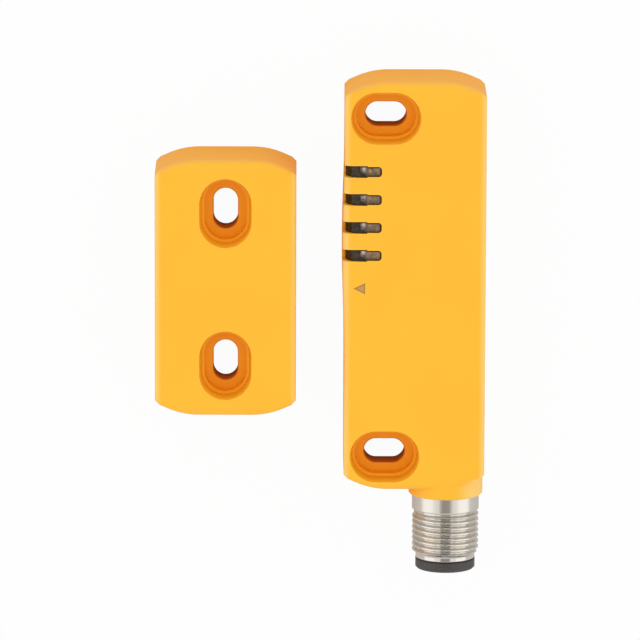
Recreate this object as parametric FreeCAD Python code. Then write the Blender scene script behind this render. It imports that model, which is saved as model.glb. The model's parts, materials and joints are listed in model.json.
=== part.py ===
import FreeCAD, Part
import math
import os

# Coded non-contact safety switch: a sensor with its connector, and a separate actuator.
# Millimetres. Z points out of the mounting faces, Y runs along the sensor away from its
# connector, and X points to the right for someone looking at the front.

# Both housings
body_width = 25.0
body_height = 17.0
sensor_length = 73.0
actuator_length = 45.6
shoulder_width = 4.9
shoulder_drop = 1.8
shoulder_blend = 14.0
corner_bevel = 0.8
front_edge_radius = 1.4
side_wall = 2.0
front_wall = 2.0
column_wall = 1.6

# The gentle swell of the sensor's side wall beside its status windows
swell = 0.365
swell_half_length = 19.9
swell_centre_y = 6.0

# Screw slots with their counterbores
slot_length = 7.25
slot_width = 4.35
recess_length = 12.35
recess_width = 9.25
recess_upper_depth = 3.4
recess_draft = 0.45
recess_ledge = 0.45
seat_depth = 5.7
seat_thickness = 4.9
pocket_corner_bevel = 2.0
sensor_slot_inset = 7.25
sensor_slot_margin = 6.1
actuator_slot_share = 0.6

# The actuator's place beside the sensor
sensing_gap = 8.5
actuator_y = -0.3

# Status windows and the light guide behind them
window_count = 4
window_reach = 6.5
window_step = 4.0
window_top_inset = 3.275
window_coil_gap = 2.0
window_outer_height = 2.0
window_inner_height = 1.7
window_clearance = 0.05
window_end_radius = 0.6
window_side_depth = 4.4
window_side_inset = 0.2
lens_edge_radius = 3.4
guide_bar_width = 5.1
guide_bar_height = 2.6
guide_bar_overhang = 0.5
guide_leg_side = 1.8
guide_led_gap = 0.3

# Rear covers
cover_thickness = 1.6
cover_lip = 0.8
cover_clearance = 0.1
cover_corner_bevel = 1.0

# Circuit boards and what stands on them
board_thickness = 1.2
board_front_room = 5.4
board_clearance = 0.5
board_corner_bevel = 0.6
board_end_room = 2.5
led_length = 1.6
led_width = 1.2
led_height = 0.8
chip_bevel = 0.2
post_side = 2.0
post_wall_gap = 1.0
post_guide_gap = 2.0
post_coil_gap = 2.0

# What stands on the boards: size across, size along, height
controller_size = (7.0, 7.0, 1.0)
antenna_chip_size = (4.0, 4.0, 0.9)
driver_size = (4.0, 5.0, 1.5)
regulator_size = (3.5, 5.0, 1.7)
capacitor_size = (4.3, 6.6, 2.8)
transponder_chip_size = (3.0, 3.0, 0.9)
chip_gap = 1.0

# Coils; the shares are parts of the flange's side
coil_length = 5.2
coil_flange_side = 8.4
coil_flange_thickness = 0.6
coil_hub_share = 0.52
coil_winding_share = 0.88
coil_winding_corner_share = 0.14
coil_core_share = 0.36
coil_core_extra = 0.4
coil_clearance = 0.05
coil_room = 0.4
transponder_coil_room = 1.7

# Connector, M12 with a 1 mm pitch
connector_inset = 6.75
boss_radius = 6.6
boss_drop = 0.05
boss_length = 1.85
boss_rim_bevel = 0.3
collar_radius = 5.97
collar_clearance = 0.02
shell_anchor_depth = 2.0
shell_bore_radius = 4.85
collar_length = 2.75
undercut_length = 0.4
undercut_radius = 5.45
thread_radius = 5.8
thread_length = 7.2
neck_chamfer = 0.55
neck_radius = 5.3
neck_length = 0.75
carrier_clearance = 0.05
carrier_rim_radius = 5.31
carrier_rim_length = 1.9
carrier_rim_bevel = 0.3
socket_radius = 4.2
socket_depth = 8.7
socket_key_width = 1.0
socket_key_height = 0.55
socket_key_setback = 0.8
socket_key_root = 0.2
pin_radius = 0.5
pin_clearance = 0.02
pin_ring_radius = 2.65
pin_ring_count = 4
pin_tip_setback = 1.3
lead_channel_side = 7.0
tail_board_side = 6.8
tail_board_thickness = 0.8
flex_thickness = 0.2
flex_width = 3.6
flex_landing = 2.0
flex_rise = 3.0

# Derived places
sensor_slot_y = sensor_length / 2.0 - sensor_slot_margin
actuator_slot_y = actuator_length * actuator_slot_share / 2.0
actuator_x = -body_width - sensing_gap
seat_z = body_height - seat_depth
seat_back_z = seat_z - seat_thickness
inner_half_width = body_width / 2.0 - side_wall
ceiling_z = body_height - front_wall
sensor_cavity_y = sensor_slot_y - recess_width / 2.0 - column_wall
actuator_cavity_y = actuator_slot_y - recess_length / 2.0 - column_wall
board_top_z = ceiling_z - board_front_room
board_bottom_z = board_top_z - board_thickness
coil_axis_z = (cover_thickness + ceiling_z) / 2.0
transponder_coil_side = 2 * (actuator_cavity_y - transponder_coil_room)
sensor_slot_x = -body_width / 2.0 + sensor_slot_inset
window_inner_x = -body_width / 2.0 + window_reach
window_step_x = -body_width / 2.0 + window_step
window_first_y = actuator_y + coil_flange_side / 2.0 + window_coil_gap
window_last_y = sensor_cavity_y - window_top_inset
window_pitch = (window_last_y - window_first_y) / (window_count - 1)
connector_x = body_width / 2.0 - connector_inset
window_floor_z = body_height - window_side_depth
connector_z = body_height - boss_radius - boss_drop
end_face_y = -sensor_length / 2.0
boss_end_y = end_face_y - boss_length
shell_inner_y = end_face_y + shell_anchor_depth
collar_end_y = boss_end_y - collar_length
thread_start_y = collar_end_y - undercut_length
thread_end_y = thread_start_y - thread_length
shell_end_y = thread_end_y - neck_chamfer - neck_length
carrier_end_y = shell_end_y - carrier_rim_length
tail_board_y = shell_inner_y + tail_board_thickness
main_board_low_y = -sensor_cavity_y + board_end_room
guide_bar_bottom_z = ceiling_z - guide_bar_height
led_x = window_step_x
led_top_z = board_top_z + led_height
overshoot = 1.0


def vec(x, y, z=0.0):
    return FreeCAD.Vector(x, y, z)


def line(start, end):
    return Part.LineSegment(start, end).toShape()


def arc(start, middle, end):
    return Part.Arc(start, middle, end).toShape()


def block(x_span, y_span, z_span):
    """A box from its spans along the three axes."""
    size = [abs(span[1] - span[0]) for span in (x_span, y_span, z_span)]
    corner = vec(min(x_span), min(y_span), min(z_span))
    return Part.makeBox(size[0], size[1], size[2], corner)


def is_upright(edge):
    """True for a straight edge along Z."""
    ends = [vertex.Point for vertex in edge.Vertexes]
    return len(ends) == 2 and math.hypot(ends[0].x - ends[1].x, ends[0].y - ends[1].y) < 1e-6


def rounded_block(x_span, y_span, z_span, radius):
    """A box whose upright edges are rounded."""
    solid = block(x_span, y_span, z_span)
    return solid.makeFillet(radius, [edge for edge in solid.Edges if is_upright(edge)])


def bevelled_block(x_span, y_span, z_span, bevel):
    """A box whose upright edges are bevelled."""
    solid = block(x_span, y_span, z_span)
    return solid.makeChamfer(bevel, [edge for edge in solid.Edges if is_upright(edge)])


def turned(profile):
    """A solid turned about the connector's axis from (radius, y) pairs."""
    points = [vec(radius, y) for radius, y in profile]
    face = Part.Face(Part.makePolygon(points + points[:1]))
    solid = face.revolve(vec(0, 0, 0), vec(0, 1, 0), 360)
    solid.translate(vec(connector_x, 0, connector_z))
    return solid


# Screw slots

def obround_wire(length, width, z):
    """The outline of a slot that runs along X, centred on the Z axis."""
    radius = width / 2.0
    half = length / 2.0 - radius
    return Part.Wire([
        line(vec(-half, radius, z), vec(half, radius, z)),
        arc(vec(half, radius, z), vec(half + radius, 0, z), vec(half, -radius, z)),
        line(vec(half, -radius, z), vec(-half, -radius, z)),
        arc(vec(-half, -radius, z), vec(-half - radius, 0, z), vec(-half, radius, z)),
    ])


def obround(length, width, z_span):
    face = Part.Face(obround_wire(length, width, z_span[0]))
    return face.extrude(vec(0, 0, z_span[1] - z_span[0]))


def screw_slot():
    """What a screw slot takes out of a housing: a drafted and stepped counterbore in
    front, the slot itself, and a pocket with bevelled corners behind."""
    step_z = body_height - recess_upper_depth
    slope = recess_draft / recess_upper_depth
    growth = 2 * slope * overshoot
    shrink = 2 * recess_draft
    upper = Part.makeLoft([
        obround_wire(recess_length - shrink, recess_width - shrink, step_z),
        obround_wire(recess_length + growth, recess_width + growth, body_height + overshoot),
    ], True, True)
    shrink = shrink + 2 * recess_ledge
    lower = obround(recess_length - shrink, recess_width - shrink, (seat_z, step_z + overshoot))
    slot = obround(slot_length, slot_width, (seat_back_z - overshoot, seat_z + overshoot))
    x = recess_length / 2.0
    y = recess_width / 2.0
    pocket = bevelled_block((-x, x), (-y, y), (-overshoot, seat_back_z), pocket_corner_bevel)
    return upper.fuse([lower, slot, pocket])


def sensor_slots():
    slots = []
    for side in (-1, 1):
        slot = screw_slot()
        slot.translate(vec(sensor_slot_x, side * sensor_slot_y))
        slots.append(slot)
    return slots


def actuator_slots():
    slots = []
    for side in (-1, 1):
        slot = screw_slot()
        slot.rotate(vec(0, 0, 0), vec(0, 0, 1), 90)
        slot.translate(vec(actuator_x, actuator_y + side * actuator_slot_y))
        slots.append(slot)
    return slots


# Housings

def swell_edges(x, centre_y, half_length, height):
    """A smooth swell of a side wall at -x, as three equal arcs that meet in line."""
    quarter = half_length / 2.0
    radius = (quarter ** 2 + (height / 2.0) ** 2) / height
    eighth = radius - math.sqrt(radius ** 2 - (quarter / 2.0) ** 2)
    low_end = vec(-x, centre_y - half_length)
    low_turn = vec(-x - height / 2.0, centre_y - quarter)
    high_turn = vec(-x - height / 2.0, centre_y + quarter)
    high_end = vec(-x, centre_y + half_length)
    return [
        arc(low_end, vec(-x - eighth, centre_y - 1.5 * quarter), low_turn),
        arc(low_turn, vec(-x - height, centre_y), high_turn),
        arc(high_turn, vec(-x - eighth, centre_y + 1.5 * quarter), high_end),
    ]


def body_outline(length, left_side):
    """The plan of a housing. Each end is flat in the middle and slopes back to small
    bevels at the sides; left_side gives the edges of a swell on the left side."""
    x = body_width / 2.0
    y = length / 2.0
    inner_x = x - shoulder_width
    bevel_x = x - corner_bevel
    corner_y = y - shoulder_drop
    side_y = corner_y - corner_bevel
    corners = [vec(-x, side_y), vec(-bevel_x, corner_y), vec(-inner_x, y),
               vec(inner_x, y), vec(bevel_x, corner_y), vec(x, side_y),
               vec(x, -side_y), vec(bevel_x, -corner_y), vec(inner_x, -y),
               vec(-inner_x, -y), vec(-bevel_x, -corner_y), vec(-x, -side_y)]
    edges = [line(first, second) for first, second in zip(corners, corners[1:])]
    if left_side:
        edges.append(line(corners[-1], left_side[0].Vertexes[0].Point))
        edges.extend(left_side)
        edges.append(line(left_side[-1].Vertexes[-1].Point, corners[0]))
    else:
        edges.append(line(corners[-1], corners[0]))
    return Part.Wire(edges)


def body_blank(length, left_side):
    """A housing before anything is cut from it: its shoulders are blended and its front
    edge is rounded, and its back edge is sharp where it meets the mounting surface."""
    solid = Part.Face(body_outline(length, left_side)).extrude(vec(0, 0, body_height))
    shoulders = [edge for edge in solid.Edges
                 if is_upright(edge) and abs(abs(edge.Vertexes[0].Point.y) - length / 2.0) < 1e-6]
    solid = solid.makeFillet(shoulder_blend, shoulders)
    return solid.makeFillet(front_edge_radius, edges_at(solid, body_height))


def edges_at(solid, z):
    """The edges of a solid that lie wholly at one height."""
    found = []
    for edge in solid.Edges:
        box = edge.BoundBox
        if abs(box.ZMin - z) < 1e-5 and abs(box.ZMax - z) < 1e-5:
            found.append(edge)
    return found


def board_posts(places, z_span):
    half = post_side / 2.0
    return [block((x - half, x + half), (y - half, y + half), z_span) for x, y in places]


def cavity(centre_x, centre_y, half_length, posts):
    """The room inside a housing, open at the back, with a rebate for the rear cover and
    with the posts left standing that the circuit board rests on."""
    room = block((centre_x - inner_half_width, centre_x + inner_half_width),
                 (centre_y - half_length, centre_y + half_length), (-overshoot, ceiling_z))
    reach = cover_lip + cover_clearance
    x = inner_half_width + reach
    y = half_length + reach
    rebate = bevelled_block((centre_x - x, centre_x + x), (centre_y - y, centre_y + y),
                            (-overshoot, cover_thickness), cover_corner_bevel)
    return room.cut(board_posts(posts, (board_top_z, ceiling_z))).fuse(rebate)


def window_ys():
    return [window_first_y + index * window_pitch for index in range(window_count)]


def window_cut(y):
    """One status window: an opening through the front wall that runs over the edge and
    down the side wall, a little taller where it crosses the edge."""
    outer_half = window_outer_height / 2.0 + window_clearance
    inner_half = window_inner_height / 2.0 + window_clearance
    outside = (-body_width / 2.0 - swell - overshoot, window_step_x)
    outer = block(outside, (y - outer_half, y + outer_half),
                  (window_floor_z, body_height + overshoot))
    inner_end = window_inner_x + window_clearance
    inner = rounded_block((window_step_x - window_end_radius * 2, inner_end),
                          (y - inner_half, y + inner_half),
                          (guide_bar_bottom_z, body_height + overshoot), window_end_radius)
    return outer.fuse(inner)


def connector_boss():
    """The round boss on the sensor's lower end, flush with its front face."""
    boss = rod_y(connector_x, connector_z, shell_inner_y, boss_end_y, boss_radius)
    rim = [edge for edge in boss.Edges if abs(edge.BoundBox.YMax - boss_end_y) < 1e-5]
    return boss.makeChamfer(boss_rim_bevel, rim)


def connector_bore():
    """The hole that the connector's shell sits in, and the channel for its lead."""
    hole = rod_y(connector_x, connector_z, shell_inner_y, boss_end_y - overshoot,
                 collar_radius + collar_clearance)
    half = lead_channel_side / 2.0
    channel = block((connector_x - half, connector_x + half),
                    (shell_inner_y - overshoot, overshoot - sensor_cavity_y),
                    (connector_z - half, connector_z + half))
    return hole.fuse(channel)


def sensor_posts():
    half = post_side / 2.0
    left = -inner_half_width + guide_bar_width + post_guide_gap + half
    right = inner_half_width - post_wall_gap - half
    low = main_board_low_y + flex_landing + post_wall_gap + half
    high = sensor_cavity_y - post_wall_gap - half
    return [(left, high), (right, high), (left, low), (right, low)]


def actuator_posts():
    half = post_side / 2.0
    across = actuator_cavity_y - post_wall_gap - half
    left = actuator_x - inner_half_width + post_coil_gap + half
    right = actuator_x + inner_half_width - coil_length - post_coil_gap - half
    return [(x, actuator_y + side * across) for x in (left, right) for side in (-1, 1)]


def sensor_housing():
    side = swell_edges(body_width / 2.0, swell_centre_y, swell_half_length, swell)
    solid = body_blank(sensor_length, side).fuse(connector_boss())
    cuts = sensor_slots()
    cuts.append(cavity(0.0, 0.0, sensor_cavity_y, sensor_posts()))
    cuts.append(connector_bore())
    cuts.extend(window_cut(y) for y in window_ys())
    return solid.cut(cuts).removeSplitter()


def actuator_housing():
    solid = body_blank(actuator_length, [])
    solid.translate(vec(actuator_x, actuator_y))
    cuts = actuator_slots()
    cuts.append(cavity(actuator_x, actuator_y, actuator_cavity_y, actuator_posts()))
    return solid.cut(cuts)


def rear_cover(centre_x, centre_y, half_length, posts):
    """The plate that closes a housing, with a peg under each post to hold the board."""
    x = inner_half_width + cover_lip
    y = half_length + cover_lip
    plate = bevelled_block((centre_x - x, centre_x + x), (centre_y - y, centre_y + y),
                           (0.0, cover_thickness), cover_corner_bevel)
    return plate.fuse(board_posts(posts, (cover_thickness, board_bottom_z)))


# Light guide

def light_guide():
    """Four lenses on one bar, each with a leg down to its lamp. Towards the side of the
    housing a lens rolls over with a larger radius than the housing's own edge."""
    outer_x = -body_width / 2.0 + window_side_inset
    ys = window_ys()
    pieces = []
    for y in ys:
        outer = window_outer_height / 2.0
        inner = window_inner_height / 2.0
        pieces.append(block((outer_x, window_step_x), (y - outer, y + outer),
                            (window_floor_z + window_clearance, body_height)))
        pieces.append(rounded_block((window_step_x - 2 * window_end_radius, window_inner_x),
                                    (y - inner, y + inner), (guide_bar_bottom_z, body_height),
                                    window_end_radius - window_clearance))
        leg = guide_leg_side / 2.0
        pieces.append(block((led_x - leg, led_x + leg), (y - leg, y + leg),
                            (led_top_z + guide_led_gap, guide_bar_bottom_z)))
    bar_left = -inner_half_width + window_clearance
    bar_end = window_outer_height / 2.0 + guide_bar_overhang
    bar = block((bar_left, bar_left + guide_bar_width), (ys[0] - bar_end, ys[-1] + bar_end),
                (guide_bar_bottom_z, ceiling_z))
    solid = bar.fuse(pieces)
    return solid.cut(lens_edge_waste(outer_x, ys))


def lens_edge_waste(outer_x, ys):
    """What is taken off the lenses where they roll over to the side."""
    radius = lens_edge_radius
    y_span = (ys[0] - window_pitch, ys[-1] + window_pitch)
    corner = block((outer_x - overshoot, outer_x + radius), y_span,
                   (body_height - radius, body_height + overshoot))
    roll = Part.makeCylinder(radius, y_span[1] - y_span[0],
                             vec(outer_x + radius, y_span[0], body_height - radius), vec(0, 1, 0))
    return corner.cut(roll)


# Electronics

def status_led(y):
    return block((led_x - led_length / 2.0, led_x + led_length / 2.0),
                 (y - led_width / 2.0, y + led_width / 2.0), (board_top_z, led_top_z))


def circuit_board():
    """The sensor's board, cut out on one side round the antenna coil."""
    x = inner_half_width - board_clearance
    board = bevelled_block((-x, x), (main_board_low_y, sensor_cavity_y - board_clearance),
                           (board_bottom_z, board_top_z), board_corner_bevel)
    notch_half = coil_flange_side / 2.0 + coil_room
    notch_x = -inner_half_width + coil_length + coil_core_extra + coil_room
    notch = block((-x - overshoot, notch_x), (actuator_y - notch_half, actuator_y + notch_half),
                  (board_bottom_z - overshoot, board_top_z + overshoot))
    return board.cut(notch)


def board_chip(x, y, size):
    """A packaged part that stands on a board, with a small bevel round its top."""
    width, length, height = size
    chip = block((x - width / 2.0, x + width / 2.0), (y - length / 2.0, y + length / 2.0),
                 (board_top_z, board_top_z + height))
    return chip.makeChamfer(chip_bevel, edges_at(chip, board_top_z + height))


def board_chips():
    """The packaged parts of the sensor's board: the controller between the upper posts,
    the coil's chip beside the coil, and a row across the lower half of the board."""
    inner_post_x, upper_post_y = sensor_posts()[0]
    lower_post_y = sensor_posts()[2][1]
    right_x = inner_half_width - board_clearance - chip_gap
    row_room = 2 * (inner_half_width - board_clearance) - 2 * driver_size[0] - capacitor_size[0]
    row_gap = row_room / 4.0
    coil_end_x = -inner_half_width + coil_length + coil_core_extra + coil_room
    row_y = lower_post_y + post_side / 2.0 + chip_gap + driver_size[1] / 2.0
    first_driver_x = board_clearance - inner_half_width + row_gap + driver_size[0] / 2.0
    second_driver_x = first_driver_x + driver_size[0] + row_gap
    capacitor_x = second_driver_x + driver_size[0] / 2.0 + row_gap + capacitor_size[0] / 2.0
    controller_x = right_x - controller_size[0] / 2.0
    controller_y = upper_post_y - post_side / 2.0 - chip_gap - controller_size[1] / 2.0
    return {
        "controller_chip": board_chip(controller_x, controller_y, controller_size),
        "antenna_chip": board_chip(coil_end_x + chip_gap + antenna_chip_size[0] / 2.0,
                                   actuator_y, antenna_chip_size),
        "output_driver_1": board_chip(first_driver_x, row_y, driver_size),
        "output_driver_2": board_chip(second_driver_x, row_y, driver_size),
        "voltage_regulator": board_chip(right_x - regulator_size[0] / 2.0, actuator_y,
                                        regulator_size),
        "smoothing_capacitor": board_chip(capacitor_x, row_y, capacitor_size),
    }


def coil_parts(wall_x, direction, y, flange):
    """A spool with its flange against a side wall, its winding, and the ferrite core in
    its bore. direction is 1 where the spool runs towards +X from the wall."""
    hub = flange * coil_hub_share
    core_side = flange * coil_core_share
    def bar(start, end, side):
        half = side / 2.0
        return block((wall_x + direction * start, wall_x + direction * end),
                     (y - half, y + half), (coil_axis_z - half, coil_axis_z + half))
    bore = bar(-overshoot, coil_length + overshoot, core_side + 2 * coil_clearance)
    spool = bar(0, coil_length, hub).fuse([
        bar(0, coil_flange_thickness, flange),
        bar(coil_length - coil_flange_thickness, coil_length, flange)]).cut(bore)
    inner = coil_flange_thickness + coil_clearance
    winding = bar(inner, coil_length - inner, flange * coil_winding_share)
    winding = winding.makeFillet(flange * coil_winding_corner_share, edges_along_x(winding))
    winding = winding.cut(bar(0, coil_length, hub + 2 * coil_clearance))
    core = bar(0, coil_length + coil_core_extra, core_side)
    return spool, winding, core


def edges_along_x(solid):
    return [edge for edge in solid.Edges
            if edge.BoundBox.YLength < 1e-5 and edge.BoundBox.ZLength < 1e-5]


# Connector

def connector_shell():
    """The metal sleeve: anchored in the boss, then a plain collar, an undercut, the
    threaded length as a plain cylinder just under its crests, and a plain neck."""
    return turned([
        (shell_bore_radius, shell_inner_y),
        (collar_radius, shell_inner_y), (collar_radius, collar_end_y),
        (undercut_radius, collar_end_y), (undercut_radius, thread_start_y),
        (thread_radius, thread_start_y), (thread_radius, thread_end_y),
        (neck_radius, thread_end_y - neck_chamfer), (neck_radius, shell_end_y),
        (shell_bore_radius, shell_end_y)])


def pin_places():
    """One contact in the middle and four on a ring, none of them at the key."""
    places = [(connector_x, connector_z)]
    for index in range(pin_ring_count):
        angle = 2 * math.pi * (index + 0.5) / pin_ring_count + math.pi / 2
        places.append((connector_x + pin_ring_radius * math.cos(angle),
                       connector_z + pin_ring_radius * math.sin(angle)))
    return places


def contact_carrier():
    """The moulded insert: a body in the shell and a rim over the shell's end, with the
    socket and its key inside and a hole for each contact."""
    body = shell_bore_radius - carrier_clearance
    rim = carrier_rim_radius
    floor_y = carrier_end_y + socket_depth
    solid = turned([
        (0, shell_inner_y), (body, shell_inner_y), (body, shell_end_y), (rim, shell_end_y),
        (rim, carrier_end_y + carrier_rim_bevel), (rim - carrier_rim_bevel, carrier_end_y),
        (socket_radius, carrier_end_y), (socket_radius, floor_y), (0, floor_y)])
    half = socket_key_width / 2.0
    wall_z = connector_z + socket_radius
    key = block((connector_x - half, connector_x + half),
                (carrier_end_y + socket_key_setback, floor_y + socket_key_root),
                (wall_z - socket_key_height, wall_z + socket_key_root))
    holes = [rod_y(x, z, shell_inner_y + overshoot, carrier_end_y, pin_radius + pin_clearance)
             for x, z in pin_places()]
    return solid.fuse(key).cut(holes)


def rod_y(x, z, start_y, end_y, radius):
    """A round rod from start_y down to end_y."""
    return Part.makeCylinder(radius, start_y - end_y, vec(x, start_y, z), vec(0, -1, 0))


def contact_pin(x, z):
    """A round contact from the small board behind the carrier into the socket."""
    return rod_y(x, z, shell_inner_y, carrier_end_y + pin_tip_setback, pin_radius)


def connector_board():
    """The small board that the contacts' tails are soldered to."""
    half = tail_board_side / 2.0
    return block((connector_x - half, connector_x + half), (shell_inner_y, tail_board_y),
                 (connector_z - half, connector_z + half))


def connector_flex():
    """The flat flexible lead from the foot of the small board, along its channel and up
    to the underside of the main board."""
    half = flex_thickness / 2.0
    foot_z = connector_z - tail_board_side / 2.0 + flex_thickness
    y_face = tail_board_y + half
    climb_y = main_board_low_y - flex_rise
    route = [vec(0, y_face, foot_z + flex_rise), vec(0, y_face, foot_z),
             vec(0, climb_y, foot_z), vec(0, main_board_low_y, board_bottom_z - half),
             vec(0, main_board_low_y + flex_landing, board_bottom_z - half)]
    path = Part.makePolygon(route)
    corners = [vec(-flex_width / 2.0, -half), vec(flex_width / 2.0, -half),
               vec(flex_width / 2.0, half), vec(-flex_width / 2.0, half)]
    section = Part.makePolygon(corners + corners[:1])
    section.translate(route[0])
    strip = path.makePipeShell([section], True, False, 1)
    strip.translate(vec(connector_x, 0, 0))
    return strip


def sensor_nodes():
    spool, winding, core = coil_parts(-inner_half_width, 1, actuator_y, coil_flange_side)
    nodes = {
        "sensor_housing": sensor_housing(),
        "sensor_rear_cover": rear_cover(0.0, 0.0, sensor_cavity_y, sensor_posts()),
        "light_guide": light_guide(),
        "circuit_board": circuit_board(),
        "antenna_spool": spool,
        "antenna_winding": winding,
        "antenna_core": core,
        "connector_shell": connector_shell(),
        "contact_carrier": contact_carrier(),
        "connector_board": connector_board(),
        "connector_flex": connector_flex(),
    }
    nodes.update(board_chips())
    for number, y in enumerate(reversed(window_ys()), 1):
        nodes["status_led_%d" % number] = status_led(y)
    for number, (x, z) in enumerate(pin_places(), 1):
        nodes["contact_pin_%d" % number] = contact_pin(x, z)
    return nodes


def actuator_nodes():
    wall_x = actuator_x + inner_half_width
    spool, winding, core = coil_parts(wall_x, -1, actuator_y, transponder_coil_side)
    x_low = actuator_x - inner_half_width + board_clearance
    x_high = wall_x - coil_length - coil_core_extra - coil_room
    y_half = actuator_cavity_y - board_clearance
    board = bevelled_block((x_low, x_high), (actuator_y - y_half, actuator_y + y_half),
                           (board_bottom_z, board_top_z), board_corner_bevel)
    chip_x = (x_low + x_high) / 2.0
    return {
        "actuator_housing": actuator_housing(),
        "actuator_rear_cover": rear_cover(actuator_x, actuator_y, actuator_cavity_y,
                                          actuator_posts()),
        "transponder_board": board,
        "transponder_chip": board_chip(chip_x, actuator_y, transponder_chip_size),
        "transponder_spool": spool,
        "transponder_winding": winding,
        "transponder_core": core,
    }


def main():
    os.makedirs("parts", exist_ok=True)
    nodes = sensor_nodes()
    nodes.update(actuator_nodes())
    for name, shape in nodes.items():
        print(name, len(shape.Solids), "solid", round(shape.Volume, 2), shape.isValid())
        shape.exportStep("parts/%s.step" % name)


main()
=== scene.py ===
import bpy
import bmesh
import json
import math
import numpy as np
from mathutils import Matrix, Vector


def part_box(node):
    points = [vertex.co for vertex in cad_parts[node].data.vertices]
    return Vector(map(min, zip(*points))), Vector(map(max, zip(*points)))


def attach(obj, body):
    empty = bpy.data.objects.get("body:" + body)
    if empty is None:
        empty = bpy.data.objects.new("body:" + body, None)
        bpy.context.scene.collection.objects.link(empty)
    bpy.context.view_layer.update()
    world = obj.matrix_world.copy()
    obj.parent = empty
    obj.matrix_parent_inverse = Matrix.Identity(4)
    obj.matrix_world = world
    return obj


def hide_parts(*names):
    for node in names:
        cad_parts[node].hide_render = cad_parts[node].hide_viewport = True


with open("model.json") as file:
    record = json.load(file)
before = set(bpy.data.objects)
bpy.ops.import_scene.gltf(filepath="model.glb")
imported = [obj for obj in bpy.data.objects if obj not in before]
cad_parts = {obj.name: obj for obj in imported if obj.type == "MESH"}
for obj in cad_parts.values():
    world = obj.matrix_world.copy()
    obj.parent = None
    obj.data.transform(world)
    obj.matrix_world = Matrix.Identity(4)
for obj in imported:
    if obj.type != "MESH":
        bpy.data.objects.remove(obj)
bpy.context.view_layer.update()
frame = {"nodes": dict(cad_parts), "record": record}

bl_info = {
    "name": "Non-contact safety switch",
    "version": (1, 0, 0),
    "blender": (4, 5, 0),
    "location": "3D View > Sidebar > Safety switch",
    "description": "Finishes a coded safety sensor and its actuator on their packed frame",
    "category": "Object",
}

MM = 0.001
NODES = frame["nodes"]
BODY_OF = {node: body for body, nodes in frame["record"]["behaviour"]["bodies"].items()
           for node in nodes}
MOUNTS = {mount["name"]: mount for mount in frame["record"]["mounts"]}
CONNECTOR_X, CONNECTOR_Y, CONNECTOR_Z = MOUNTS["connector_thread"]["pos_m"]
THREAD_LENGTH = MOUNTS["connector_thread"]["dims"]["length_mm"] * MM


# Sizes and colours a user would change

def length(name, description, default, low=0.0):
    return bpy.props.FloatProperty(name=name, description=description, default=default,
                                   min=low, precision=5, unit="LENGTH")


def colour(name, description, default):
    return bpy.props.FloatVectorProperty(name=name, description=description, default=default,
                                         size=3, min=0.0, max=1.0, subtype="COLOR")


def share(name, description, default, high=1.0):
    return bpy.props.FloatProperty(name=name, description=description, default=default,
                                   min=0.0, max=high)


class HousingSettings(bpy.types.PropertyGroup):
    plastic: colour("Plastic", "Colour of the moulded housings", (0.97, 0.490, 0.030))
    shade: colour("Shade", "Deeper colour that the plastic drifts towards",
                  (0.96, 0.470, 0.026))
    # deep: painted shade, a darker tone below the front on the ends, the sides and the slots'
    # seats
    deep: colour("Deep", "Colour below the front: the ends, the sides and the slots' seats",
                 (0.97, 0.412, 0.003))
    # pale: a painted highlight on the rounded side edges and on the boss's right flank
    pale: colour("Pale edge", "Colour of the rounded side edges and the boss's right flank",
                 (0.98, 0.61, 0.15))
    # recess walls: painted shade, darker the deeper the wall lies towards its ledge
    recess_wall_shade: colour("Recess walls", "Colour of the recess walls just over their ledge",
                        (0.86, 0.34, 0.006))
    # slot walls: painted shade deep in the narrow screw slots
    slot_shade: colour("Slot walls", "Colour deep in the screw slots", (0.72, 0.230, 0.020))
    grain: length("Grain", "Width of one grain of the moulded texture", 0.00022)
    grain_height: length("Grain height", "Height of the moulded texture", 0.000006)
    roughness: share("Roughness", "Roughness of the moulded surface", 0.42)
    slot_length: length("Slot length", "Length of a screw slot", 0.00725)
    slot_width: length("Slot width", "Width of a screw slot", 0.00435)
    # slot line: width of the painted shade line round each slot
    slot_shade_line: length("Slot line", "Width of the dark line round a slot", 0.00015)
    recess_length: length("Recess length", "Length of the recess round a slot", 0.01235)
    recess_width: length("Recess width", "Width of the recess round a slot", 0.00925)
    ledge_depth: length("Ledge depth", "How deep the ledge in a recess lies", 0.0034)
    sensor_slot_y: length("Slot place", "From the sensor's middle to each of its slots", 0.0304)


class WindowSettings(bpy.types.PropertyGroup):
    smoke: colour("Smoke", "Colour of the lenses over the edge", (0.020, 0.012, 0.005))
    lamp_side: colour("Lamp side", "Colour of the lenses over their lamps",
                      (0.30, 0.19, 0.115))
    # glint: a painted highlight where each lens starts to roll over
    glint: colour("Glint", "Colour of the inner facet where a lens starts to roll over",
                  (0.62, 0.53, 0.50))
    streak: colour("Streaks", "Paler streaks in the lenses over the edge",
                   (0.048, 0.034, 0.014))
    cloud: colour("Clouds", "Darker clouds in the lenses over their lamps",
                  (0.15, 0.105, 0.070))
    spot: colour("Spots", "Warm spots in the lenses over their lamps", (0.40, 0.25, 0.075))
    shadow: colour("Shadow", "The lenses over their lamps, towards the connector",
                   (0.075, 0.055, 0.036))
    # rim line: painted shade of the gap round each lens
    rim_shade: colour("Rim line", "Colour of the dark line round each lens",
                     (0.030, 0.016, 0.004))
    rim: length("Rim", "Width of the dark line round each lens", 0.00030)
    inner_reach: length("Inner reach", "From a lamp's middle to the inner end of its lens",
                        0.00238)
    inner_half: length("Inner half", "Half the height of a lens over its lamp", 0.00085)
    outer_half: length("Outer half", "Half the height of a lens over the edge", 0.0010)


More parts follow.
